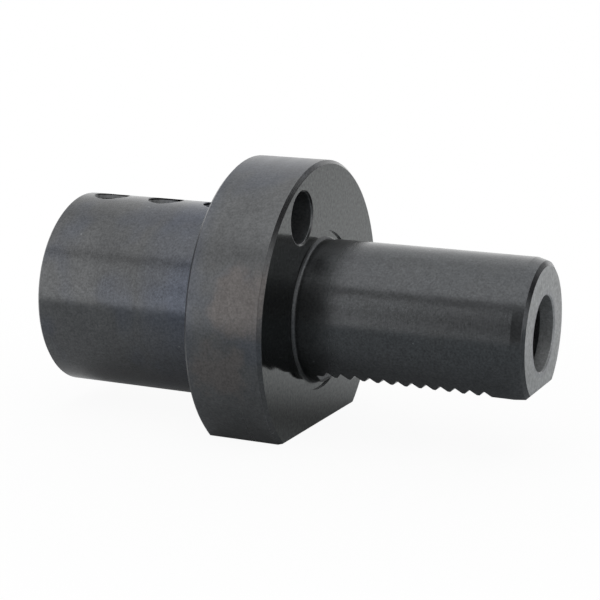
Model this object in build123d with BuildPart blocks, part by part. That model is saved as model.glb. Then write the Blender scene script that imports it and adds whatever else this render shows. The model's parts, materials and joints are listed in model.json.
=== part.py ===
from build123d import *
from math import cos, radians, sin, sqrt, tan
import os

os.makedirs("parts", exist_ok=True)

# Static tool holder for a lathe turret: a round shank with a serrated rack, a flange that seats on the
# turret face, and a nose that clamps a boring bar with three set screws. Millimetres. X runs along the
# axis, from the nose at -X to the shank's end at +X. The origin is on the axis in the flange's seat face.

# Shank
shank_diameter = 40.0
shank_length = 63.0
lead_length = 3.5
lead_drop = 0.75
end_chamfer_length = 0.8
end_chamfer_drop = 1.25
relief_depth = 0.3
relief_width = 2.8
relief_runout = 0.4

# Recess in the seat face round the shank's root
recess_width = 2.2
recess_depth = 0.55
root_chamfer = 0.6

# Rack: V grooves across a flat under the shank
rack_start = 4.1
rack_flat_height = 15.4
rack_end_chamfer = 0.8
groove_count = 12
groove_pitch = 4.0
first_groove = 7.7
groove_depth = 1.65
groove_half_angle = 45.0
groove_root_fillet = 0.25

# Flange
flange_diameter = 83.0
flange_thickness = 22.0
seat_edge_chamfer = 1.0
rear_edge_chamfer = 0.9
foot_height = 32.0
foot_edge_chamfer = 0.2

# Nose
nose_diameter = 54.5
nose_length = 53.0
nose_edge_chamfer = 0.7

# Bores along the axis
tool_bore_diameter = 32.0
tool_bore_depth = 71.0
tool_bore_chamfer = 1.0
relief_bore_diameter = 23.0
end_bore_diameter = 20.4
end_bore_length = 4.0
end_bore_chamfer = 0.3

# Coolant port in the seat face, and its angle from the top towards -Y
port_angle = 29.3
port_pitch_radius = 31.8
port_diameter = 14.0
port_depth = 9.5
port_chamfer = 0.5

# Set screws with a hexagon socket and a flat point
screw_count = 3
screw_pitch = 17.5
first_screw_setback = 8.6
screw_diameter = 10.0
screw_length = 8.0
screw_clearance = 0.08
screw_stand_off = 0.4
screw_top_chamfer = 0.4
screw_point_chamfer = 0.8
socket_across_flats = 5.0
socket_depth = 4.0
screw_mouth_chamfer = 0.25

# Ball nozzle in the flange's nose-side face
ball_diameter = 7.5
ball_centre_depth = 3.2
ball_flat_distance = 3.0
ball_clearance = 0.1
jet_diameter = 2.5
ring_diameter = 11.0
ring_thickness = 4.2
ring_clearance = 0.05
ring_opening_diameter = 5.4
ring_cone_angle = 45.0
ring_slot_width = 1.4
ring_slot_depth = 0.9
seal_thickness = 1.5
seal_clearance = 0.02
feed_diameter = 4.0

shank_radius = shank_diameter / 2
flange_radius = flange_diameter / 2
nose_radius = nose_diameter / 2
nose_face = -flange_thickness - nose_length

# The nozzle sits midway across the face that the nose leaves free, at the port's angle. In the section
# plane local x is the distance from the nozzle's own axis and local y is the distance out of the face.
radial = Vector(0, -sin(radians(port_angle)), cos(radians(port_angle)))
nozzle_mouth = radial * (nose_radius + flange_radius) / 2 - Vector(flange_thickness, 0, 0)
nozzle_section = Plane(origin=nozzle_mouth, x_dir=radial, z_dir=radial.cross(Vector(-1, 0, 0)))
nozzle_front = Plane(origin=nozzle_mouth, x_dir=radial, z_dir=(-1, 0, 0))
nozzle_axis = Axis(nozzle_mouth, (-1, 0, 0))
ball_radius = ball_diameter / 2

ring_radius = ring_diameter / 2
ring_opening_radius = ring_opening_diameter / 2
socket_radius = ball_radius + ball_clearance
chamber_radius = socket_radius + ball_clearance
chamber_depth = ball_centre_depth + socket_radius
seal_front_depth = chamber_depth - seal_thickness
seal_opening_radius = sqrt(socket_radius**2 - (seal_front_depth - ball_centre_depth) ** 2)


def ring_cone_depth(radius):
    """The depth below the flange's face at which the ring's cone, which touches the ball, has a radius."""
    half = radians(ring_cone_angle)
    return ball_centre_depth - (socket_radius - radius * cos(half)) / sin(half)


# Set screws from the nose's face towards the flange, on top of the nose
screw_radius = screw_diameter / 2
screw_hole_radius = screw_radius + screw_clearance
screw_places = [nose_face + first_screw_setback + n * screw_pitch for n in range(screw_count)]
screw_foot = tool_bore_diameter / 2 + screw_stand_off

# Holder body: one turned outline, then the bores, the rack, the foot and the holes
with BuildPart() as holder_body:
    with BuildSketch(Plane.XZ) as outline:
        with BuildLine():
            Polyline(
                (nose_face, 0),
                (nose_face, nose_radius - nose_edge_chamfer),
                (nose_face + nose_edge_chamfer, nose_radius),
                (-flange_thickness, nose_radius),
                (-flange_thickness, flange_radius - rear_edge_chamfer),
                (-flange_thickness + rear_edge_chamfer, flange_radius),
                (-seat_edge_chamfer, flange_radius),
                (0, flange_radius - seat_edge_chamfer),
                (0, shank_radius + recess_width),
                (-recess_depth, shank_radius + recess_width),
                (-recess_depth, shank_radius - relief_depth),
                (relief_width, shank_radius - relief_depth),
                (relief_width + relief_runout, shank_radius),
                (shank_length - lead_length, shank_radius),
                (shank_length - end_chamfer_length, shank_radius - lead_drop),
                (shank_length, shank_radius - lead_drop - end_chamfer_drop),
                (shank_length, 0),
                close=True,
            )
        make_face()
        shank_root = outline.vertices().sort_by_distance((-recess_depth, shank_radius - relief_depth))[0]
        chamfer(shank_root, root_chamfer)
    revolve(axis=Axis.X)

    # Bores: the clamped bar's, a wider dark relief behind it, and a lip at the shank's end
    with BuildSketch(Plane.XZ):
        with BuildLine():
            Polyline(
                (nose_face, 0),
                (nose_face, tool_bore_diameter / 2 + tool_bore_chamfer),
                (nose_face + tool_bore_chamfer, tool_bore_diameter / 2),
                (nose_face + tool_bore_depth, tool_bore_diameter / 2),
                (nose_face + tool_bore_depth, relief_bore_diameter / 2),
                (shank_length - end_bore_length, relief_bore_diameter / 2),
                (shank_length - end_bore_length, end_bore_diameter / 2),
                (shank_length - end_bore_chamfer, end_bore_diameter / 2),
                (shank_length, end_bore_diameter / 2 + end_bore_chamfer),
                (shank_length, 0),
                close=True,
            )
        make_face()
    revolve(axis=Axis.X, mode=Mode.SUBTRACT)

    # Rack: the flat starts at an upright wall, ends in a chamfer, and is crossed by the V grooves
    below_flat = shank_radius - rack_flat_height
    groove_mouth = 2 * (groove_depth + below_flat) * tan(radians(groove_half_angle))
    with BuildSketch(Plane.XZ) as rack_space:
        with BuildLine():
            Polyline(
                (rack_start, -rack_flat_height),
                (shank_length - end_chamfer_length, -rack_flat_height),
                (shank_length, -rack_flat_height + rack_end_chamfer),
                (shank_length, -shank_radius),
                (rack_start, -shank_radius),
                close=True,
            )
        make_face()
        with Locations([(first_groove + n * groove_pitch, -rack_flat_height) for n in range(groove_count)]):
            Polygon((0, groove_depth), (-groove_mouth / 2, -below_flat), (groove_mouth / 2, -below_flat), align=None)
        roots = rack_space.vertices().group_by(Axis.Y)[-1]
        fillet(roots, groove_root_fillet)
    extrude(amount=shank_radius, both=True, mode=Mode.SUBTRACT)

    # Foot: the flat under the flange that the holder stands on
    split(bisect_by=Plane.XY.offset(-foot_height), keep=Keep.TOP)
    foot_face = holder_body.faces().sort_by(Axis.Z)[0]
    chamfer(foot_face.edges().filter_by(Axis.Y), foot_edge_chamfer)

    # Coolant port
    with Locations(Plane(origin=radial * port_pitch_radius, x_dir=(0, 1, 0), z_dir=(1, 0, 0))):
        CounterSinkHole(
            radius=port_diameter / 2,
            counter_sink_radius=port_diameter / 2 + port_chamfer,
            depth=port_depth,
            counter_sink_angle=90,
        )

    # Set screw holes down into the tool bore
    with Locations([Plane(origin=(x, 0, nose_radius)) for x in screw_places]):
        CounterSinkHole(
            radius=screw_hole_radius,
            counter_sink_radius=screw_hole_radius + screw_mouth_chamfer,
            depth=nose_radius,
            counter_sink_angle=90,
        )

    # Nozzle pocket: the ring's bore, the chamber of ball and seal, and the feed from the port
    with BuildSketch(nozzle_section):
        with BuildLine():
            Polyline(
                (0, 0),
                (ring_radius + ring_clearance, 0),
                (ring_radius + ring_clearance, -ring_thickness),
                (chamber_radius, -ring_thickness),
                (chamber_radius, -chamber_depth),
                (feed_diameter / 2, -chamber_depth),
                (feed_diameter / 2, port_depth / 2 - flange_thickness),
                (0, port_depth / 2 - flange_thickness),
                close=True,
            )
        make_face()
    revolve(axis=nozzle_axis, mode=Mode.SUBTRACT)

holder_body.part.label = "holder_body"
export_step(holder_body.part, "parts/holder_body.step")

# Set screws, set down close to the bar's seat
for number, x in enumerate(screw_places, start=1):
    with BuildPart() as set_screw:
        with BuildSketch(Plane(origin=(x, 0, screw_foot))):
            Circle(screw_radius)
        extrude(amount=screw_length)
        chamfer(set_screw.edges().group_by(Axis.Z)[0], screw_point_chamfer)
        chamfer(set_screw.edges().group_by(Axis.Z)[-1], screw_top_chamfer)
        with BuildSketch(Plane(origin=(x, 0, screw_foot + screw_length))):
            RegularPolygon(socket_across_flats / 2, side_count=6, major_radius=False)
        extrude(amount=-socket_depth, mode=Mode.SUBTRACT)
    set_screw.part.label = f"set_screw_{number}"
    export_step(set_screw.part, f"parts/set_screw_{number}.step")

# Nozzle ball: a ball with two flats and the jet hole
with BuildPart() as nozzle_ball:
    with Locations(nozzle_front.offset(-ball_centre_depth)):
        Sphere(ball_radius)
    split(bisect_by=nozzle_front.offset(ball_flat_distance - ball_centre_depth), keep=Keep.BOTTOM)
    split(bisect_by=nozzle_front.offset(-ball_flat_distance - ball_centre_depth), keep=Keep.TOP)
    with Locations(nozzle_front.offset(ball_flat_distance - ball_centre_depth)):
        Hole(jet_diameter / 2)
nozzle_ball.part.label = "nozzle_ball"
export_step(nozzle_ball.part, "parts/nozzle_ball.step")

# Nozzle ring: flush with the flange, coned inside to hold the ball, with a slot for its key
with BuildPart() as nozzle_ring:
    with BuildSketch(nozzle_section):
        with BuildLine():
            Polyline(
                (ring_radius, 0),
                (ring_radius, -ring_thickness),
                (chamber_radius, -ring_thickness),
                (chamber_radius, -ring_cone_depth(chamber_radius)),
                (ring_opening_radius, -ring_cone_depth(ring_opening_radius)),
                (ring_opening_radius, 0),
                close=True,
            )
        make_face()
    revolve(axis=nozzle_axis)
    with BuildSketch(nozzle_front):
        Rectangle(ring_slot_width, ring_diameter + ring_slot_width)
    extrude(amount=-ring_slot_depth, mode=Mode.SUBTRACT)
nozzle_ring.part.label = "nozzle_ring"
export_step(nozzle_ring.part, "parts/nozzle_ring.step")

# Nozzle seal: the flat plastic ring on the chamber's floor, whose inner edge the ball rests on
with BuildPart() as nozzle_seal:
    with BuildSketch(nozzle_front.offset(-chamber_depth)):
        Circle(chamber_radius - seal_clearance)
        Circle(seal_opening_radius, mode=Mode.SUBTRACT)
    extrude(amount=seal_thickness)
nozzle_seal.part.label = "nozzle_seal"
export_step(nozzle_seal.part, "parts/nozzle_seal.step")
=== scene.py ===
import json
from functools import partial
from math import cos, pi, radians, sin, tau
from types import SimpleNamespace

import bpy
from mathutils import Matrix, Vector


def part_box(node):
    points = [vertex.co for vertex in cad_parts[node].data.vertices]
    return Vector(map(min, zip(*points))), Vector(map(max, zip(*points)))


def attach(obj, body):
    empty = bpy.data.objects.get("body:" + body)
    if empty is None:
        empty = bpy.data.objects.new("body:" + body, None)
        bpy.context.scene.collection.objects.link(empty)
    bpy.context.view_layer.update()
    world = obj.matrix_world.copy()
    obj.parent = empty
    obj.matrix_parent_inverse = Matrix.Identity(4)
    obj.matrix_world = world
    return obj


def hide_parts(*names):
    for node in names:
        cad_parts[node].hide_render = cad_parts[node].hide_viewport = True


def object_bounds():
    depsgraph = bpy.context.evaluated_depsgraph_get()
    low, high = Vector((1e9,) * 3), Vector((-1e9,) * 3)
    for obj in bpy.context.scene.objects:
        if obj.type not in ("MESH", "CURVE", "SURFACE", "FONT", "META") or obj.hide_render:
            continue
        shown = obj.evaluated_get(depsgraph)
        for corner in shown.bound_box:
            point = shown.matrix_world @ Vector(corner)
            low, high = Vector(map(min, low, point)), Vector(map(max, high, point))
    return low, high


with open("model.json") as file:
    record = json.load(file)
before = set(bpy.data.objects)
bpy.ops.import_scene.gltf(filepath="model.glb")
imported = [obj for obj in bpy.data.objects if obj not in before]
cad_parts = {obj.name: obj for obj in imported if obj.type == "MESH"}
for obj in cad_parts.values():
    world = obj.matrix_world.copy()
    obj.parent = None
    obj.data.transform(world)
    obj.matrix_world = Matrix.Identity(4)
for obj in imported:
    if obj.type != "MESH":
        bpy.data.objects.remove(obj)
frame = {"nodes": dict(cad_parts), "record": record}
cad_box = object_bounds()


# Holder body
# One bar of case hardening steel, turned to a nose, a flange and a shank and then hardened. The shank, the
# flange's seat face and the shank's end are ground, and all of it is blackened. Every other piece is fixed
# to this one.

MM = 0.001
PER_MM = 1000.0

# Places and sizes on the holder in millimetres. Each finish reaches a little past the faces that it covers
PAST_FACE = 0.1
PAST_WALL = 0.2
mounts = {mount["name"]: mount for mount in frame["record"]["mounts"]}
first_screw_low, first_screw_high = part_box("set_screw_1")
second_screw_low, second_screw_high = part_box("set_screw_2")
FIRST_SCREW_AT = round((first_screw_low.x + first_screw_high.x) / 2 / MM, 1)
SCREW_SPACING = round((second_screw_low.x + second_screw_high.x) / 2 / MM, 1) - FIRST_SCREW_AT
SCREW_HOLE_RADIUS = 5.15
SEAT_AT = 0.0
END_AT = round(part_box("holder_body")[1].x / MM, 1)
SHANK_RADIUS = mounts["shank"]["dims"]["r_mm"]
BORE_RADIUS = mounts["tool_bore"]["dims"]["r_mm"] + PAST_WALL
LIP_RADIUS = mounts["end_bore"]["dims"]["r_mm"] + PAST_WALL
PORT_RADIUS = mounts["coolant_port"]["dims"]["r_mm"] + PAST_FACE
PORT_MIDDLE = [metres / MM for metres in mounts["coolant_port"]["pos_m"]]
PORT_FLOOR_AT = -9.55
PORT_MOUTH_AT = -0.05
FLANGE_BACK_AT = -22.0
RIM_FROM_RADIUS = 35.0
RECESS_DEPTH = 0.55
RECESS_RADIUS = 22.2
RELIEF_END_AT = 4.0
RELIEF_FLAT_AT = 15.3
BORE_FLOOR_AT = -3.9
RELIEF_BORE_RADIUS = 11.7
LIP_LENGTH = 4.0


def linear(code):
    """The linear colour, with alpha, of an sRGB hex code."""
    channels = [int(code[i : i + 2], 16) / 255 for i in (1, 3, 5)]
    return tuple(c / 12.92 if c <= 0.04045 else ((c + 0.055) / 1.055) ** 2.4 for c in channels) + (1.0,)


def add_node(tree, kind, *values, inputs=None, **settings):
    """Adds a node with its settings and links, and returns it.

    The values go to the inputs in use, in order, and others by name in inputs. Each is a plain value, another
    node's output, or a node, which stands for its first output in use.
    """
    node = tree.nodes.new(kind)
    for name, setting in settings.items():
        setattr(node, name, setting)
    in_use = [socket for socket in node.inputs if socket.enabled]
    by_name = [(node.inputs[name], value) for name, value in (inputs or {}).items()]
    for socket, value in [*zip(in_use, values), *by_name]:
        if isinstance(value, bpy.types.Node):
            value = next(output for output in value.outputs if output.enabled)
        if isinstance(value, bpy.types.NodeSocket):
            tree.links.new(value, socket)
        else:
            socket.default_value = value
    return node


def all_of(add, first, *others):
    """The share of a place where all the given shares hold."""
    together = first
    for share in others:
        together = add("ShaderNodeMath", together, share, operation="MULTIPLY")
    return together


def new_material(name):
    """An empty node material, the function that adds its nodes, and the place on the holder in mm."""
    material = bpy.data.materials.new(name)
    material.use_nodes = True
    material.node_tree.nodes.clear()
    add = partial(add_node, material.node_tree)
    place = add("ShaderNodeTexCoord").outputs["Object"]
    in_mm = add("ShaderNodeVectorMath", place, PER_MM, operation="SCALE")
    return material, add, in_mm


def place_on_holder(add, in_mm):
    """Where a point lies on the holder and which way its face looks."""
    at = SimpleNamespace(in_mm=in_mm)
    at.x, at.y, at.z = add("ShaderNodeSeparateXYZ", in_mm).outputs
    at.off_axis = add("ShaderNodeVectorMath", in_mm, (0, 1, 1), operation="MULTIPLY")
    at.radius = add("ShaderNodeVectorMath", at.off_axis, operation="LENGTH")
    at.angle = add("ShaderNodeMath", at.y, at.z, operation="ARCTAN2")
    at.normal = add("ShaderNodeNewGeometry").outputs["Normal"]
    at.facing_x, _, at.facing_z = add("ShaderNodeSeparateXYZ", at.normal).outputs
    at.faces_end = add("ShaderNodeMapRange", at.facing_x, 0.95, 0.99, interpolation_type="SMOOTHSTEP")
    either_way = add("ShaderNodeMath", at.facing_x, operation="ABSOLUTE")
    at.faces_along = add("ShaderNodeMath", either_way, 0.9, operation="GREATER_THAN")
    at.faces_out = add("ShaderNodeMath", 1.0, at.faces_along, operation="SUBTRACT")
    from_first_screw = add("ShaderNodeMath", at.x, FIRST_SCREW_AT, operation="SUBTRACT")
    half_way = SCREW_SPACING / 2
    at.past_screw = add("ShaderNodeMath", from_first_screw, half_way, -half_way, operation="WRAP")
    return at


def ground_finishes(add, at, on):
    """Where the ground seat face, end face, shank and bore lie, and the lip of the hole in the end, lightened
    as painted light.
    """
    by_seat = add("ShaderNodeMath", at.x, SEAT_AT, RECESS_DEPTH + PAST_FACE, operation="COMPARE")
    on.seat = all_of(add, at.faces_end, by_seat)
    by_end = add("ShaderNodeMath", at.x, END_AT, PAST_FACE, operation="COMPARE")
    on.end = all_of(add, at.faces_end, by_end)
    from_recess_floor = add("ShaderNodeMath", at.x, -RECESS_DEPTH - PAST_FACE, operation="GREATER_THAN")
    in_recess = add("ShaderNodeMath", at.radius, RECESS_RADIUS + PAST_FACE, operation="LESS_THAN")
    on.shank = all_of(add, from_recess_floor, in_recess)
    in_relief_bore = add("ShaderNodeMath", at.radius, RELIEF_BORE_RADIUS, operation="LESS_THAN")
    in_bore_wall = add("ShaderNodeMath", at.radius, BORE_RADIUS, operation="LESS_THAN")
    past_bore_floor = add("ShaderNodeMath", at.x, BORE_FLOOR_AT, operation="LESS_THAN")
    in_tool_bore = all_of(add, in_bore_wall, past_bore_floor)
    on.bore = add("ShaderNodeMath", in_relief_bore, in_tool_bore, operation="MAXIMUM")
    in_lip = add("ShaderNodeMath", at.radius, LIP_RADIUS, operation="LESS_THAN")
    by_lip = add("ShaderNodeMath", at.x, END_AT - LIP_LENGTH - PAST_FACE, operation="GREATER_THAN")
    on.lip = all_of(add, in_lip, by_lip)


def drilled_and_turned_finishes(add, at, on):
    """Where the drilled port, the tapped holes and the flange's turned rim lie."""
    port_middle_at = (PORT_FLOOR_AT + PORT_MOUTH_AT) / 2
    port_half_length = (PORT_MOUTH_AT - PORT_FLOOR_AT) / 2
    from_port = add("ShaderNodeVectorMath", at.in_mm, PORT_MIDDLE, operation="SUBTRACT")
    from_port = add("ShaderNodeVectorMath", from_port, (0, 1, 1), operation="MULTIPLY")
    from_port = add("ShaderNodeVectorMath", from_port, operation="LENGTH")
    in_port_wall = add("ShaderNodeMath", from_port, PORT_RADIUS, operation="LESS_THAN")
    in_port_length = add("ShaderNodeMath", at.x, port_middle_at, port_half_length, operation="COMPARE")
    on.port = all_of(add, in_port_wall, in_port_length)

    from_screw = add("ShaderNodeCombineXYZ", at.past_screw, at.y)
    from_screw = add("ShaderNodeVectorMath", from_screw, operation="LENGTH")
    in_screw_hole = add("ShaderNodeMath", from_screw, SCREW_HOLE_RADIUS, operation="LESS_THAN")
    above_bore = add("ShaderNodeMath", at.z, BORE_RADIUS, operation="GREATER_THAN")
    on_nose = add("ShaderNodeMath", at.x, FLANGE_BACK_AT, operation="LESS_THAN")
    not_on_top = add("ShaderNodeMath", at.facing_z, 0.5, operation="LESS_THAN")
    on.thread = all_of(add, in_screw_hole, above_bore, on_nose, not_on_top)

    by_rim = add("ShaderNodeMath", at.radius, RIM_FROM_RADIUS, operation="GREATER_THAN")
    not_on_seat = add("ShaderNodeMath", at.facing_x, 0.3, operation="LESS_THAN")
    on.rim = all_of(add, by_rim, not_on_seat, at.faces_out)


# Feed marks are about 0.1 mm apart and are drawn at 0.13 mm. The oxide's grain is finer than that and is
# drawn at 0.6 mm, and a little coarser on the end faces, to show
TURNING_MARK = 0.13
TURNING_BAND = 3.2
CLOUD_SIZE = 1.6
OXIDE_GRAIN = 0.6
GRAIN_ON_FACES = 0.7
MOTTLE_SIZE = 16.0
TINT_SIZE = 22.0
TINT_SHIFT = (31.0, 7.0, 12.0)


def surface_patterns(add, at):
    """Ring marks round the axis and across the faces, slow mottle and clouds, and the oxide's grain."""
    slow_angle = add("ShaderNodeMath", at.angle, 0.5, operation="MULTIPLY")
    rings = add("ShaderNodeCombineXYZ", at.x, at.radius, slow_angle)
    coarser = add("ShaderNodeVectorMath", at.in_mm, GRAIN_ON_FACES, operation="SCALE")
    grain_place = add("ShaderNodeMix", at.faces_end, at.in_mm, coarser, data_type="VECTOR")
    shifted = add("ShaderNodeVectorMath", at.in_mm, TINT_SHIFT, operation="ADD")
    patterns = {
        "marks": (rings, TURNING_MARK, 3.0, 0.6),
        "bands": (rings, TURNING_BAND, 2.0, 0.6),
        "mottle": (at.in_mm, MOTTLE_SIZE, 4.0, 0.6),
        "cloud": (at.in_mm, CLOUD_SIZE, 2.0, 0.6),
        "grain": (grain_place, OXIDE_GRAIN, 2.0, 0.6),
        "tint": (shifted, TINT_SIZE, 2.0, 0.5),
        "fray": (at.in_mm, TINT_SIZE / 4, 2.0, 0.5),
    }
    drawn = SimpleNamespace()
    for name, (place, size, detail, roughness) in patterns.items():
        inputs = {"Vector": place, "Scale": 1.0 / size, "Detail": detail, "Roughness": roughness}
        setattr(drawn, name, add("ShaderNodeTexNoise", inputs=inputs))
    return drawn


# The ring's middle along the axis, how far it reaches each way and how far it is full, in millimetres, and
# the heights between which it fades
BLUE_RING_AT = -31.0
BLUE_RING_REACH = 15.0
BLUE_RING_FULL = 5.0
BLUE_FADES_FROM = 4.0
BLUE_FADES_TO = -16.0


def blue_tint(add, at, drawn):
    """Faint blue from the heat of hardening: a ring on the nose by the flange, fainter below, and patches."""
    off_ring = add("ShaderNodeMath", at.x, BLUE_RING_AT, operation="SUBTRACT")
    off_ring = add("ShaderNodeMath", off_ring, operation="ABSOLUTE")
    near_ring = add("ShaderNodeMapRange", off_ring, BLUE_RING_REACH, BLUE_RING_FULL,
                    interpolation_type="SMOOTHSTEP")
    uneven = add("ShaderNodeMapRange", drawn.tint, 0.3, 0.5, 0.4, 1.0, interpolation_type="SMOOTHSTEP")
    fades_down = add("ShaderNodeMapRange", at.z, BLUE_FADES_TO, BLUE_FADES_FROM, 0.3, 1.0,
                     interpolation_type="SMOOTHSTEP")
    ring = all_of(add, near_ring, uneven, fades_down)
    patches = add("ShaderNodeMapRange", drawn.tint, 0.48, 0.62, 0.0, 0.45, interpolation_type="SMOOTHSTEP")
    return add("ShaderNodeMath", ring, patches, operation="MAXIMUM")


# How far a patch's edge wanders, in millimetres
BROWN_FRAY = 16.0


def brown_patch(add, at, drawn, others, middle, reach):
    """Adds a brown patch with a frayed edge to the others. Its middle and its reach are in millimetres."""
    away = add("ShaderNodeVectorMath", at.in_mm, middle, operation="DISTANCE")
    fray = add("ShaderNodeMath", drawn.fray, 0.5, operation="SUBTRACT")
    frayed = add("ShaderNodeMath", fray, BROWN_FRAY, away, operation="MULTIPLY_ADD")
    patch = add("ShaderNodeMapRange", frayed, reach, 0.4 * reach, interpolation_type="SMOOTHSTEP")
    return add("ShaderNodeMath", others, patch, operation="MAXIMUM")


TURNED_LIGHT = "#606162"
TURNED_DARK = "#58595a"
TEMPER_BLUE = "#575b64"
TEMPER_BROWN = "#646160"
GROUND_SHANK = "#57595b"
GROUND_SEAT = "#686a69"
GROUND_END = "#9a9c9c"
GROUND_BORE = "#909294"
# Painted light: the lip inside the end's hole is light grey, so the hollow shows light
LIP_PAINTED_LIGHT = "#b4b6b7"
# Painted light: the drilled port's wall is light grey, not the oxide's black, so the deep hole shows light
DRILLED_PAINTED_LIGHT = "#76787a"


def steel_colour(add, at, on, drawn):
    """The turned steel with its heat tints, and over it the colour of each other finish, with painted light
    in the port and on the lip.
    """
    brown = 0.0
    brown = brown_patch(add, at, drawn, brown, middle=(-6.0, -40.0, 9.0), reach=12.0)
    brown = brown_patch(add, at, drawn, brown, middle=(-12.0, -40.0, -10.0), reach=10.0)
    brown = brown_patch(add, at, drawn, brown, middle=(-54.0, 24.0, 10.0), reach=18.0)
    light = add("ShaderNodeMapRange", drawn.mottle, 0.3, 0.7, interpolation_type="SMOOTHSTEP")
    dark = add("ShaderNodeMapRange", drawn.mottle, 0.3, 0.7, 0.0, 0.5, interpolation_type="SMOOTHSTEP")
    ground = add("ShaderNodeMix", dark, linear(GROUND_SHANK), linear(TURNED_DARK), data_type="RGBA")
    colour = linear(TURNED_DARK)
    for share, finish in (
        (light, linear(TURNED_LIGHT)),
        (blue_tint(add, at, drawn), linear(TEMPER_BLUE)),
        (brown, linear(TEMPER_BROWN)),
        (on.shank, ground),
        (on.seat, linear(GROUND_SEAT)),
        (on.end, linear(GROUND_END)),
        (on.bore, linear(GROUND_BORE)),
        (on.lip, linear(LIP_PAINTED_LIGHT)),
        (on.port, linear(DRILLED_PAINTED_LIGHT)),
    ):
        colour = add("ShaderNodeMix", share, colour, finish, data_type="RGBA")
    return colour


SPECK = "#8c8e90"
NICK = "#3f4142"
# Millimetres between spots, their radius as a share of that, and the size of the noise that bends them out of
# round. More than half of the places for a spot have none, and a speck is a little over half opaque
SPOT_SPACING = 7.0
SPOT_RADIUS = 0.045
SPOT_BEND = 2.5
SPOTS_FROM = 0.55
SPECK_COVER = 0.6


def with_handling_marks(add, at, colour):
    """Adds small light specks on the outside and dark nicks on the faces across the axis, from handling."""
    bent = add("ShaderNodeTexNoise", at.in_mm, inputs={"Scale": 1.0 / SPOT_BEND, "Detail": 1.0})
    scattered = add("ShaderNodeVectorMath", at.in_mm, bent.outputs["Color"], operation="ADD")
    cells = add("ShaderNodeTexVoronoi", scattered, inputs={"Scale": 1.0 / SPOT_SPACING, "Randomness": 1.0})
    chance = add("ShaderNodeSeparateColor", cells.outputs["Color"])
    near = add("ShaderNodeMath", cells.outputs["Distance"], SPOT_RADIUS, operation="LESS_THAN")
    some = add("ShaderNodeMath", chance, SPOTS_FROM, operation="GREATER_THAN")
    spot = all_of(add, near, some)
    nick = all_of(add, spot, at.faces_along)
    speck = all_of(add, spot, at.faces_out, SPECK_COVER)
    colour = add("ShaderNodeMix", nick, colour, linear(NICK), data_type="RGBA")
    return add("ShaderNodeMix", speck, colour, linear(SPECK), data_type="RGBA")


# The rounding of an edge and of the shank's root, in millimetres
EDGE_BREAK = 0.2
ROOT_FILLET = 0.8
# How far from an edge its own rounding holds, and where the recess's edge turns keen, in millimetres
ROOT_ALONG = 0.75
ROOT_ACROSS = 1.2
RECESS_EDGE_ACROSS = 0.25
LIP_EDGE_ALONG = 0.3
LIP_EDGE_ACROSS = 0.5
KEEN_FROM_Y = 3.0
KEEN_TO_Y = -6.0


def rounded_normal(add, at):
    """The normal with broken edges.

    The shank's root has a larger fillet. The lip's edge, and the recess's edge on the port's side, are keen.
    """
    by_root = add("ShaderNodeMath", at.x, SEAT_AT, ROOT_ALONG, operation="COMPARE")
    near_shank = add("ShaderNodeMath", at.radius, SHANK_RADIUS, ROOT_ACROSS, operation="COMPARE")
    at_root = all_of(add, by_root, near_shank)
    edge_radius = add("ShaderNodeMath", at_root, (ROOT_FILLET - EDGE_BREAK) * MM, EDGE_BREAK * MM,
                      operation="MULTIPLY_ADD")
    near_recess = add("ShaderNodeMath", at.radius, RECESS_RADIUS, RECESS_EDGE_ACROSS, operation="COMPARE")
    by_seat = add("ShaderNodeMath", at.x, SEAT_AT, RECESS_DEPTH + PAST_FACE, operation="COMPARE")
    port_side = add("ShaderNodeMapRange", at.y, KEEN_FROM_Y, KEEN_TO_Y, interpolation_type="SMOOTHSTEP")
    recess_edge = all_of(add, near_recess, by_seat, port_side)
    near_lip_wall = add("ShaderNodeMath", at.radius, LIP_RADIUS, LIP_EDGE_ACROSS, operation="COMPARE")
    by_end = add("ShaderNodeMath", at.x, END_AT, LIP_EDGE_ALONG, operation="COMPARE")
    lip_edge = all_of(add, near_lip_wall, by_end)
    keen = add("ShaderNodeMath", recess_edge, lip_edge, operation="MAXIMUM")
    not_keen = add("ShaderNodeMath", 1.0, keen, operation="SUBTRACT")
    edge_radius = add("ShaderNodeMath", edge_radius, not_keen, operation="MULTIPLY")
    return add("ShaderNodeBevel", edge_radius, samples=6)


# Wear and painted highlight: a light grey laid along every edge, the hollow ones too
RUBBED_EDGE_AND_HIGHLIGHT = "#8a8c8e"


def with_rubbed_and_highlit_edges(add, at, drawn, rounded, colour):
    """Lightens the edges unevenly, where the rounded normal leaves the flat one: handling wear and a painted
    highlight, on hollow edges too.
    """
    agreement = add("ShaderNodeVectorMath", rounded, at.normal, operation="DOT_PRODUCT")
    on_edge = add("ShaderNodeMapRange", agreement, 0.995, 0.9, interpolation_type="SMOOTHSTEP")
    uneven = add("ShaderNodeMapRange", drawn.mottle, 0.3, 0.7, 0.15, 0.6, interpolation_type="SMOOTHSTEP")
    # The light on the edges is partly wear and partly a painted highlight
    rubbed_and_highlit = all_of(add, on_edge, uneven)
    return add("ShaderNodeMix", rubbed_and_highlit, colour, linear(RUBBED_EDGE_AND_HIGHLIGHT), data_type="RGBA")


# How much each pattern changes the tone, as a share of it from dark to light
GRAIN_TONE = 1.0
GRAIN_TONE_ON_FACES = 1.6
CLOUD_TONE = 0.35
MARK_TONE = 0.2
RIM_LIGHTER = 0.12


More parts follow.
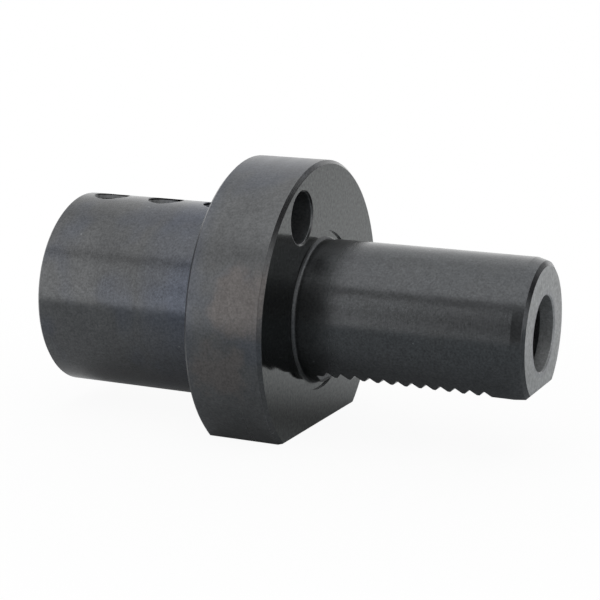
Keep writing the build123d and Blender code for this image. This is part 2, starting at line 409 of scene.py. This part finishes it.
def toned(add, at, on, drawn, colour):
    """Grain, clouds and ring marks change the colour's tone a little, and the rim is lighter."""
    grain_tone = add("ShaderNodeMath", at.faces_end, GRAIN_TONE_ON_FACES - GRAIN_TONE, GRAIN_TONE,
                     operation="MULTIPLY_ADD")
    tone = 1.0
    for pattern, depth in ((drawn.grain, grain_tone), (drawn.cloud, CLOUD_TONE), (drawn.marks, MARK_TONE)):
        swing = add("ShaderNodeMath", pattern, 0.5, operation="SUBTRACT")
        tone = add("ShaderNodeMath", swing, depth, tone, operation="MULTIPLY_ADD")
    tone = add("ShaderNodeMath", on.rim, RIM_LIGHTER, tone, operation="MULTIPLY_ADD")
    grey = add("ShaderNodeCombineColor", tone, tone, tone)
    return add("ShaderNodeMix", 1.0, colour, grey, data_type="RGBA", blend_type="MULTIPLY")


TURNED_ROUGHNESS = 0.22
RIM_ROUGHNESS = 0.3
SHANK_ROUGHNESS = 0.2
ROOT_ROUGHNESS = 0.34
SEAT_ROUGHNESS = 0.1
END_ROUGHNESS = 0.3
BORE_ROUGHNESS = 0.3
LIP_ROUGHNESS = 0.55
DRILLED_ROUGHNESS = 0.5
ROUGHNESS_SPREAD = 0.12
SEAT_ROUGHNESS_SPREAD = 0.02
DULL_UNTIL = 14.0


def steel_roughness(add, at, on, drawn):
    """Each finish's own roughness, a little uneven in bands. The shank is duller beside its root."""
    roughness = add("ShaderNodeMath", on.shank, SHANK_ROUGHNESS - TURNED_ROUGHNESS, TURNED_ROUGHNESS,
                    operation="MULTIPLY_ADD")
    near_root = add("ShaderNodeMapRange", at.x, DULL_UNTIL, RELIEF_END_AT, interpolation_type="SMOOTHSTEP")
    for share, value in (
        (on.rim, RIM_ROUGHNESS),
        (all_of(add, on.shank, near_root), ROOT_ROUGHNESS),
        (on.seat, SEAT_ROUGHNESS),
        (on.end, END_ROUGHNESS),
        (on.bore, BORE_ROUGHNESS),
        (on.lip, LIP_ROUGHNESS),
        (on.port, DRILLED_ROUGHNESS),
    ):
        roughness = add("ShaderNodeMix", share, roughness, value)
    spread = add("ShaderNodeMath", on.seat, SEAT_ROUGHNESS_SPREAD - ROUGHNESS_SPREAD, ROUGHNESS_SPREAD,
                 operation="MULTIPLY_ADD")
    swing = add("ShaderNodeMath", drawn.bands, 0.5, operation="SUBTRACT")
    return add("ShaderNodeMath", swing, spread, roughness, operation="MULTIPLY_ADD")


# Millimetres from the seat face
RUN_OUT_FROM = 0.8


def smooth_run_out(add, at, on, rounded):
    """The wheel's run-out beside the shank's root has no corners, so its normal is the shank's own."""
    run_out_middle_at = (RELIEF_END_AT + RUN_OUT_FROM) / 2
    run_out_half = (RELIEF_END_AT - RUN_OUT_FROM) / 2
    in_run_out = add("ShaderNodeMath", at.x, run_out_middle_at, run_out_half, operation="COMPARE")
    above_flat = add("ShaderNodeMath", at.z, -RELIEF_FLAT_AT, operation="GREATER_THAN")
    on_run_out = all_of(add, on.shank, in_run_out, at.faces_out, above_flat)
    smooth = add("ShaderNodeMix", on_run_out, rounded, at.off_axis, data_type="VECTOR")
    return add("ShaderNodeVectorMath", smooth, operation="NORMALIZE")


THREAD_PITCH = 1.5
THREAD_DEPTH = 0.92
# How much of a pitch the thread's upper flank takes, as seen from above, and how its start shifts by hole
UPPER_FLANK = 0.7
TURNS_PER_MM = -0.0065


def thread_height(add, at, on):
    """The thread in the screw holes, which winds once round in each pitch."""
    around_hole = add("ShaderNodeMath", at.y, at.past_screw, operation="ARCTAN2")
    around_hole = add("ShaderNodeMath", around_hole, tau, operation="DIVIDE")
    hole_at = add("ShaderNodeMath", at.x, at.past_screw, operation="SUBTRACT")
    turns = add("ShaderNodeMath", hole_at, TURNS_PER_MM, around_hole, operation="MULTIPLY_ADD")
    pitches_up = add("ShaderNodeMath", at.z, THREAD_PITCH, operation="DIVIDE")
    downward = add("ShaderNodeMath", turns, pitches_up, operation="SUBTRACT")
    downward = add("ShaderNodeMath", downward, operation="FRACT")
    rest_of_pitch = add("ShaderNodeMath", 1.0, downward, operation="SUBTRACT")
    upper = add("ShaderNodeMath", downward, UPPER_FLANK, operation="DIVIDE")
    lower = add("ShaderNodeMath", rest_of_pitch, 1.0 - UPPER_FLANK, operation="DIVIDE")
    thread = add("ShaderNodeMath", upper, lower, operation="MINIMUM")
    return all_of(add, thread, on.thread)


MARK_DEPTH = 0.02
MARKS_ON_FACES = 0.1


def blackened_steel():
    """Black oxide on turned and ground steel: dark grey, with ring marks, heat tints, and edges lightened by
    wear and a painted highlight.
    """
    material, add, in_mm = new_material("blackened_turned_and_ground_steel")
    at = place_on_holder(add, in_mm)
    on = SimpleNamespace()
    ground_finishes(add, at, on)
    drilled_and_turned_finishes(add, at, on)
    drawn = surface_patterns(add, at)
    rounded = rounded_normal(add, at)

    colour = steel_colour(add, at, on, drawn)
    colour = with_handling_marks(add, at, colour)
    colour = with_rubbed_and_highlit_edges(add, at, drawn, rounded, colour)

    mark_share = add("ShaderNodeMath", at.faces_along, MARKS_ON_FACES - 1.0, 1.0, operation="MULTIPLY_ADD")
    mark_height = all_of(add, drawn.marks, mark_share)
    smooth = smooth_run_out(add, at, on, rounded)
    height = thread_height(add, at, on)
    marked = {"Strength": 1.0, "Distance": MARK_DEPTH * MM, "Height": mark_height, "Normal": smooth}
    normal = add("ShaderNodeBump", inputs=marked)
    threaded = {"Strength": 1.0, "Distance": THREAD_DEPTH * MM, "Height": height, "Normal": normal}
    normal = add("ShaderNodeBump", inputs=threaded)

    surface = add("ShaderNodeBsdfPrincipled", inputs={
        "Metallic": 1.0,
        "Base Color": toned(add, at, on, drawn, colour),
        "Roughness": steel_roughness(add, at, on, drawn),
        "Normal": normal,
    })
    add("ShaderNodeOutputMaterial", surface)
    return material


frame["nodes"]["holder_body"].material_slots[0].material = blackened_steel()


# Set screws
# Three M10 set screws of alloy steel with a flat point and a hexagon socket, blackened and oiled. Each turns
# in its thread in the nose and clamps the bar in the bore.

SCREW_NODES = ("set_screw_1", "set_screw_2", "set_screw_3")
SCREW_BODIES = ("clamp_screw_1", "clamp_screw_2", "clamp_screw_3")
POINT_CHAMFER = 0.8
TOP_CHAMFER = 0.4
SOCKET_FLATS = 5.0
SOCKET_DEPTH = 4.0
# Half of the thread's crest, and each of its flanks, as shares of the pitch
HALF_CREST = 0.07
FLANK = 0.33
TURN_SEGMENTS = 72
THREAD_ROWS = 96
SHARP_FROM_DEGREES = 28.0
SCREW_BLACK = "#3d3e40"
SCREW_WORN = "#4c4e50"
SCREW_GRAIN = 0.6
SCREW_ROUGHNESS_LOW = 0.28
SCREW_ROUGHNESS_HIGH = 0.46


def black_oxide_steel():
    """Black oxide with a film of oil: nearly black, half glossy, a little mottled."""
    material, add, in_mm = new_material("oiled_black_oxide_steel")
    grain = add("ShaderNodeTexNoise", in_mm, inputs={"Scale": 1.0 / SCREW_GRAIN, "Detail": 3.0})
    colour = add("ShaderNodeMix", grain, linear(SCREW_BLACK), linear(SCREW_WORN), data_type="RGBA")
    roughness = add("ShaderNodeMapRange", grain, 0.0, 1.0, SCREW_ROUGHNESS_LOW, SCREW_ROUGHNESS_HIGH)
    surface = add("ShaderNodeBsdfPrincipled", inputs={
        "Metallic": 1.0, "Base Color": colour, "Roughness": roughness})
    add("ShaderNodeOutputMaterial", surface)
    return material


def screw_inputs(tree):
    """Gives the tree its output and its named inputs, in metres, the first two from the first screw's box."""
    sizes = {
        "Major Radius": (first_screw_high.x - first_screw_low.x) / 2,
        "Length": first_screw_high.z - first_screw_low.z,
        "Pitch": THREAD_PITCH * MM,
        "Thread Depth": THREAD_DEPTH * MM,
        "Point Chamfer": POINT_CHAMFER * MM,
        "Top Chamfer": TOP_CHAMFER * MM,
        "Socket Flats": SOCKET_FLATS * MM,
        "Socket Depth": SOCKET_DEPTH * MM,
    }
    tree.interface.new_socket("Geometry", in_out="OUTPUT", socket_type="NodeSocketGeometry")
    for name, size in sizes.items():
        tree.interface.new_socket(name, in_out="INPUT", socket_type="NodeSocketFloat").default_value = size
    tree.interface.new_socket("Place", in_out="INPUT", socket_type="NodeSocketVector")


def threaded_wall(add, given, height, turn):
    """The screw's radius at a height and a turn: the thread, less the chamfers at the point and the top."""
    pitches = add("ShaderNodeMath", height, given["Pitch"], operation="DIVIDE")
    wound = add("ShaderNodeMath", pitches, turn, operation="SUBTRACT")
    wave = add("ShaderNodeMath", wound, 0.5, operation="PINGPONG")
    flank = add("ShaderNodeMath", wave, HALF_CREST, operation="SUBTRACT")
    flank = add("ShaderNodeMath", flank, FLANK, operation="DIVIDE")
    flank = add("ShaderNodeMath", flank, 0.0, operation="MAXIMUM")
    flank = add("ShaderNodeMath", flank, 1.0, operation="MINIMUM")
    cut = add("ShaderNodeMath", flank, given["Thread Depth"], operation="MULTIPLY")
    wall = add("ShaderNodeMath", given["Major Radius"], cut, operation="SUBTRACT")
    point = add("ShaderNodeMath", given["Major Radius"], given["Point Chamfer"], operation="SUBTRACT")
    point = add("ShaderNodeMath", point, height, operation="ADD")
    top = add("ShaderNodeMath", given["Major Radius"], given["Top Chamfer"], operation="SUBTRACT")
    below_top = add("ShaderNodeMath", given["Length"], height, operation="SUBTRACT")
    top = add("ShaderNodeMath", top, below_top, operation="ADD")
    chamfers = add("ShaderNodeMath", point, top, operation="MINIMUM")
    return add("ShaderNodeMath", wall, chamfers, operation="MINIMUM")


def socket_wall(add, given, angle):
    """The radius of the hexagon socket at an angle."""
    off_flat = add("ShaderNodeMath", angle, pi / 6, operation="SUBTRACT")
    off_flat = add("ShaderNodeMath", off_flat, pi / 6, operation="PINGPONG")
    half_flats = add("ShaderNodeMath", given["Socket Flats"], 2.0, operation="DIVIDE")
    lean = add("ShaderNodeMath", off_flat, operation="COSINE")
    return add("ShaderNodeMath", half_flats, lean, operation="DIVIDE")


def wound_place(add, given, u, v, last_row):
    """Where a point of the grid goes. Its columns run round the screw.

    Its rows are the point's middle, the wall, the socket's mouth, the socket's floor and the floor's middle.
    """
    turn = add("ShaderNodeMath", u, 0.5, operation="ADD")
    angle = add("ShaderNodeMath", turn, tau, operation="MULTIPLY")
    up = add("ShaderNodeMath", v, 0.5, operation="ADD")
    row = add("ShaderNodeMath", up, last_row, operation="MULTIPLY")
    row = add("ShaderNodeMath", row, operation="ROUND")
    in_socket = add("ShaderNodeMath", row, THREAD_ROWS + 1.5, operation="GREATER_THAN")
    on_floor = add("ShaderNodeMath", row, THREAD_ROWS + 2.5, operation="GREATER_THAN")
    past_first = add("ShaderNodeMath", row, 0.5, operation="GREATER_THAN")
    before_last = add("ShaderNodeMath", row, last_row - 0.5, operation="LESS_THAN")
    off_middle = all_of(add, past_first, before_last)

    share = add("ShaderNodeMath", row, 1.0, operation="SUBTRACT")
    share = add("ShaderNodeMath", share, THREAD_ROWS, operation="DIVIDE")
    share = add("ShaderNodeMath", share, 0.0, operation="MAXIMUM")
    share = add("ShaderNodeMath", share, 1.0, operation="MINIMUM")
    height = add("ShaderNodeMath", share, given["Length"], operation="MULTIPLY")
    wall = threaded_wall(add, given, height, turn)
    inward = add("ShaderNodeMath", socket_wall(add, given, angle), wall, operation="SUBTRACT")
    inward = add("ShaderNodeMath", in_socket, inward, operation="MULTIPLY")
    radius = add("ShaderNodeMath", wall, inward, operation="ADD")
    radius = add("ShaderNodeMath", radius, off_middle, operation="MULTIPLY")
    sunk = add("ShaderNodeMath", on_floor, given["Socket Depth"], operation="MULTIPLY")
    height = add("ShaderNodeMath", height, sunk, operation="SUBTRACT")

    cosine = add("ShaderNodeMath", angle, operation="COSINE")
    sine = add("ShaderNodeMath", angle, operation="SINE")
    x = add("ShaderNodeMath", radius, cosine, operation="MULTIPLY")
    y = add("ShaderNodeMath", radius, sine, operation="MULTIPLY")
    wound = add("ShaderNodeCombineXYZ", x, y, height)
    return add("ShaderNodeVectorMath", wound, given["Place"], operation="ADD")


def threaded_screw_tree(material):
    """Geometry Nodes for a screw: a grid wound into a threaded wall, closed at the point and the socket."""
    tree = bpy.data.node_groups.new("threaded_screw", "GeometryNodeTree")
    screw_inputs(tree)
    add = partial(add_node, tree)
    given = add("NodeGroupInput").outputs
    last_row = THREAD_ROWS + 4
    grid = add("GeometryNodeMeshGrid", 1.0, 1.0, TURN_SEGMENTS + 1, last_row + 1)
    u, v, _ = add("ShaderNodeSeparateXYZ", add("GeometryNodeInputPosition")).outputs
    placed = wound_place(add, given, u, v, last_row)
    shaped = add("GeometryNodeSetPosition", inputs={"Geometry": grid.outputs["Mesh"], "Position": placed})
    closed = add("GeometryNodeMergeByDistance", inputs={"Geometry": shaped, "Distance": 0.001 * MM})
    real = add("GeometryNodeRealizeInstances", closed)
    dressed = add("GeometryNodeSetMaterial", inputs={"Geometry": real, "Material": material})
    add("NodeGroupOutput", dressed)
    return tree


def made_by(tree, name, inputs):
    """A plain mesh object that a Geometry Nodes tree makes from the inputs given by name."""
    host = bpy.data.objects.new(name, bpy.data.meshes.new(name + "_host"))
    bpy.context.scene.collection.objects.link(host)
    modifier = host.modifiers.new("shape", "NODES")
    modifier.node_group = tree
    for item in tree.interface.items_tree:
        if item.in_out == "INPUT" and item.name in inputs:
            modifier[item.identifier] = inputs[item.name]
    bpy.context.view_layer.update()
    evaluated = host.evaluated_get(bpy.context.evaluated_depsgraph_get())
    mesh = bpy.data.meshes.new_from_object(evaluated)
    host.modifiers.remove(modifier)
    host.data = mesh
    mesh.name = name
    return host


screw_material = black_oxide_steel()
screw_tree = threaded_screw_tree(screw_material)
for node_name, body_name in zip(SCREW_NODES, SCREW_BODIES):
    low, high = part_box(node_name)
    foot = Vector(((low.x + high.x) / 2, (low.y + high.y) / 2, low.z))
    sizes = {"Place": foot, "Major Radius": (high.x - low.x) / 2, "Length": high.z - low.z}
    screw = made_by(screw_tree, node_name + "_threaded", sizes)
    screw.data.shade_smooth()
    screw.data.set_sharp_from_angle(angle=radians(SHARP_FROM_DEGREES))
    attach(screw, body_name)
    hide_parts(node_name)


# Coolant nozzle
# A ball of turned stainless steel with a jet hole, which swivels in a pocket in the back of the flange. A
# slotted ring of blackened steel, screwed into the pocket, holds it on a seat ring turned from white acetal.

BALL_STEEL = "#b4b5b4"
BALL_GRAIN = 0.3
BALL_ROUGHNESS_LOW = 0.18
BALL_ROUGHNESS_HIGH = 0.32
SEAT_WHITE = "#d8d4c8"
SEAT_GRAIN = 0.2
SEAT_ROUGHNESS_LOW = 0.4
SEAT_ROUGHNESS_HIGH = 0.55


def turned_stainless():
    """Turned stainless steel: a light grey metal whose gloss is slightly uneven."""
    material, add, in_mm = new_material("turned_stainless_steel")
    grain = add("ShaderNodeTexNoise", in_mm, inputs={"Scale": 1.0 / BALL_GRAIN, "Detail": 2.0})
    roughness = add("ShaderNodeMapRange", grain, 0.0, 1.0, BALL_ROUGHNESS_LOW, BALL_ROUGHNESS_HIGH)
    surface = add("ShaderNodeBsdfPrincipled", inputs={
        "Metallic": 1.0, "Base Color": linear(BALL_STEEL), "Roughness": roughness})
    add("ShaderNodeOutputMaterial", surface)
    return material


def turned_white_plastic():
    """Turned acetal: off-white and half matt, slightly uneven in its gloss."""
    material, add, in_mm = new_material("turned_white_acetal")
    grain = add("ShaderNodeTexNoise", in_mm, inputs={"Scale": 1.0 / SEAT_GRAIN, "Detail": 2.0})
    roughness = add("ShaderNodeMapRange", grain, 0.0, 1.0, SEAT_ROUGHNESS_LOW, SEAT_ROUGHNESS_HIGH)
    surface = add("ShaderNodeBsdfPrincipled", inputs={
        "Base Color": linear(SEAT_WHITE), "Roughness": roughness})
    add("ShaderNodeOutputMaterial", surface)
    return material


frame["nodes"]["nozzle_ball"].material_slots[0].material = turned_stainless()
frame["nodes"]["nozzle_ring"].material_slots[0].material = screw_material
frame["nodes"]["nozzle_seal"].material_slots[0].material = turned_white_plastic()


# Studio
# A white painted table in a white room, under a soft ceiling panel, with a panel behind it and one at the
# front left. The holder stands on its foot on the table, and the camera looks from the right.

WHITE = (1.0, 1.0, 1.0, 1.0)
WHITE_IN_REFLECTIONS = 0.05


def soft_panel(name, centre, towards, width, height, light):
    """An area lamp whose face shows a given light, where 1 is white."""
    lamp = bpy.data.lights.new(name, "AREA")
    lamp.shape = "RECTANGLE"
    lamp.size = width
    lamp.size_y = height
    lamp.energy = light * pi * width * height
    panel = bpy.data.objects.new(name, lamp)
    panel.location = centre
    panel.visible_camera = False
    panel.rotation_euler = (Vector(towards) - Vector(centre)).to_track_quat("-Z", "Y").to_euler()
    bpy.context.scene.collection.objects.link(panel)
    return panel


def seen_and_mirrored(add):
    """Two shares for a ray: 1 if the camera sees it directly, and the little white that a reflection gets."""
    ray = add("ShaderNodeLightPath").outputs
    seen = add("ShaderNodeMath", ray["Is Camera Ray"], ray["Is Transmission Ray"], operation="MAXIMUM")
    mirrored = add("ShaderNodeMath", ray["Is Glossy Ray"], WHITE_IN_REFLECTIONS, operation="MULTIPLY")
    return seen, mirrored


# The lamps, in metres

CEILING_CENTRE = (-0.2, 0.11, 1.0)
CEILING_WIDTH, CEILING_HEIGHT = 1.8, 1.78
CEILING_LIGHT = 0.7
BACK_CENTRE = (-0.7, 1.2, 0.6)
BACK_WIDTH, BACK_HEIGHT = 2.1, 1.25
BACK_LIGHT = 0.57
LEFT_AZIMUTH = radians(48.0)
LEFT_ELEVATION = radians(14.1)
LEFT_DISTANCE = 1.2
LEFT_WIDTH, LEFT_HEIGHT = 1.15, 1.06
LEFT_LIGHT = 0.76

below_ceiling = (CEILING_CENTRE[0], CEILING_CENTRE[1], 0.0)
soft_panel("ceiling_panel", CEILING_CENTRE, below_ceiling, CEILING_WIDTH, CEILING_HEIGHT, CEILING_LIGHT)
before_back = (BACK_CENTRE[0], 0.0, BACK_CENTRE[2])
soft_panel("back_panel", BACK_CENTRE, before_back, BACK_WIDTH, BACK_HEIGHT, BACK_LIGHT)
to_left = Vector((-sin(LEFT_AZIMUTH) * cos(LEFT_ELEVATION), -cos(LEFT_AZIMUTH) * cos(LEFT_ELEVATION),
                  sin(LEFT_ELEVATION)))
soft_panel("front_left_panel", LEFT_DISTANCE * to_left, (0.0, 0.0, 0.0), LEFT_WIDTH, LEFT_HEIGHT, LEFT_LIGHT)


# The table, just clear of the holder's foot, in metres

TABLE_CLEARANCE = 0.02 * MM
TABLE_FRONT_AT = -0.23
TABLE_REACH = 8.0
TABLE_WHITE = "#e9eaeb"
# Painted shade: the table's front right is grey, so the holder's lower side reflects less light there
TABLE_FRONT_PAINTED_SHADE = "#acb1b4"
TABLE_ROUGHNESS = 0.7
BACK_LEFT = (-0.7, 1.0, 0.0)
GREY_UNTIL = -0.09
WHITE_FROM = 0.07
SHOWN_WHITE = 0.94
SHOWN_WHITE_WITHIN = 0.08
PLAIN_WHITE_BEYOND = 0.2


def painted_white():
    """Matt white paint, greyer at the front right as painted shade for the holder's lower side to reflect.
    The camera sees it white, with a faint shadow.
    """
    material = bpy.data.materials.new("white_table")
    material.use_nodes = True
    material.node_tree.nodes.clear()
    add = partial(add_node, material.node_tree)
    seen, mirrored = seen_and_mirrored(add)
    place = add("ShaderNodeTexCoord").outputs["Object"]
    to_back_left = add("ShaderNodeVectorMath", place, BACK_LEFT, operation="DOT_PRODUCT")
    back_half = add("ShaderNodeMapRange", to_back_left, GREY_UNTIL, WHITE_FROM)
    colour = add("ShaderNodeMix", back_half, linear(TABLE_FRONT_PAINTED_SHADE), linear(TABLE_WHITE), data_type="RGBA")
    colour = add("ShaderNodeMix", seen, colour, WHITE, data_type="RGBA")
    painted = add("ShaderNodeBsdfPrincipled", inputs={"Base Color": colour, "Roughness": TABLE_ROUGHNESS})
    white = add("ShaderNodeEmission", WHITE, 1.0)
    away = add("ShaderNodeVectorMath", place, operation="LENGTH")
    whiteness = add("ShaderNodeMapRange", away, SHOWN_WHITE_WITHIN, PLAIN_WHITE_BEYOND, SHOWN_WHITE)
    share = add("ShaderNodeMath", seen, whiteness, operation="MULTIPLY")
    share = add("ShaderNodeMath", mirrored, share, operation="ADD")
    shown = add("ShaderNodeMixShader", share, painted, white)
    add("ShaderNodeOutputMaterial", shown)
    return material


table_level = cad_box[0].z - TABLE_CLEARANCE
table_mesh = bpy.data.meshes.new("table")
table_corners = [
    (-TABLE_REACH, TABLE_FRONT_AT, table_level),
    (TABLE_REACH, TABLE_FRONT_AT, table_level),
    (TABLE_REACH, TABLE_REACH, table_level),
    (-TABLE_REACH, TABLE_REACH, table_level),
]
table_mesh.from_pydata(table_corners, [], [(0, 1, 2, 3)])
table_mesh.materials.append(painted_white())
table = bpy.data.objects.new("table", table_mesh)
bpy.context.scene.collection.objects.link(table)


# The room, white to the camera, which lights the holder evenly except from a few directions

ROOM_LIGHT = 0.44


def room_part(add, others, direction, full_within, none_beyond, light):
    """Adds light from one part of the room, in full within an angle of its middle and none beyond another."""
    towards = add("ShaderNodeTexCoord").outputs["Generated"]
    near = add("ShaderNodeVectorMath", towards, Vector(direction).normalized(), operation="DOT_PRODUCT")
    part = add("ShaderNodeMapRange", near, cos(radians(none_beyond)), cos(radians(full_within)), 0.0, light,
               interpolation_type="SMOOTHSTEP")
    return add("ShaderNodeMath", others, part, operation="ADD")


def white_room():
    """A white world, darker behind the camera and at the back, lighter at the front left and on the right."""
    world = bpy.data.worlds.new("white_room")
    world.use_nodes = True
    world.node_tree.nodes.clear()
    add = partial(add_node, world.node_tree)
    behind_camera = (0.1, -0.96, 0.25)
    low_front_left = (-0.48, -0.87, -0.05)
    high_back_left = (-0.6, 0.4, 0.69)
    back_right = (0.75, 0.32, 0.56)
    right = (0.99, -0.09, 0.1)
    light = ROOM_LIGHT
    light = room_part(add, light, behind_camera, full_within=10.0, none_beyond=31.0, light=-0.26)
    light = room_part(add, light, low_front_left, full_within=6.0, none_beyond=18.0, light=0.22)
    light = room_part(add, light, high_back_left, full_within=10.0, none_beyond=30.0, light=-0.2)
    light = room_part(add, light, back_right, full_within=16.0, none_beyond=34.0, light=-0.37)
    light = room_part(add, light, right, full_within=20.0, none_beyond=33.0, light=0.5)
    room = add("ShaderNodeBackground", WHITE, light)
    white = add("ShaderNodeBackground", WHITE, 1.0)
    seen, mirrored = seen_and_mirrored(add)
    share = add("ShaderNodeMath", mirrored, seen, operation="ADD")
    shown = add("ShaderNodeMixShader", share, room, white)
    add("ShaderNodeOutputWorld", shown)
    return world


bpy.context.scene.world = white_room()
bpy.context.scene.view_settings.view_transform = "Standard"


# The camera, fitted to the photo, in millimetres

CAMERA_AZIMUTH = radians(23.156)
CAMERA_ELEVATION = radians(11.18)
CAMERA_ROLL = radians(1.233)
CAMERA_DISTANCE = 473.83
CAMERA_TARGET = (-6.8, 0.0, 2.2)
FOCAL_LENGTH = 102.287
SENSOR_WIDTH = 36.0

back = Vector((sin(CAMERA_AZIMUTH) * cos(CAMERA_ELEVATION), -cos(CAMERA_AZIMUTH) * cos(CAMERA_ELEVATION),
               sin(CAMERA_ELEVATION)))
level_right = Vector((0, 0, 1)).cross(back).normalized()
level_up = back.cross(level_right)
right = level_right * cos(CAMERA_ROLL) + level_up * sin(CAMERA_ROLL)
upward = level_up * cos(CAMERA_ROLL) - level_right * sin(CAMERA_ROLL)
eye = (Vector(CAMERA_TARGET) + back * CAMERA_DISTANCE) * MM
camera = bpy.data.objects.new("camera", bpy.data.cameras.new("camera"))
camera.data.sensor_width = SENSOR_WIDTH
camera.data.lens = FOCAL_LENGTH
camera.data.clip_start = 0.01
camera.matrix_world = Matrix.Translation(eye) @ Matrix((right, upward, back)).transposed().to_4x4()
bpy.context.scene.collection.objects.link(camera)
bpy.context.scene.camera = camera
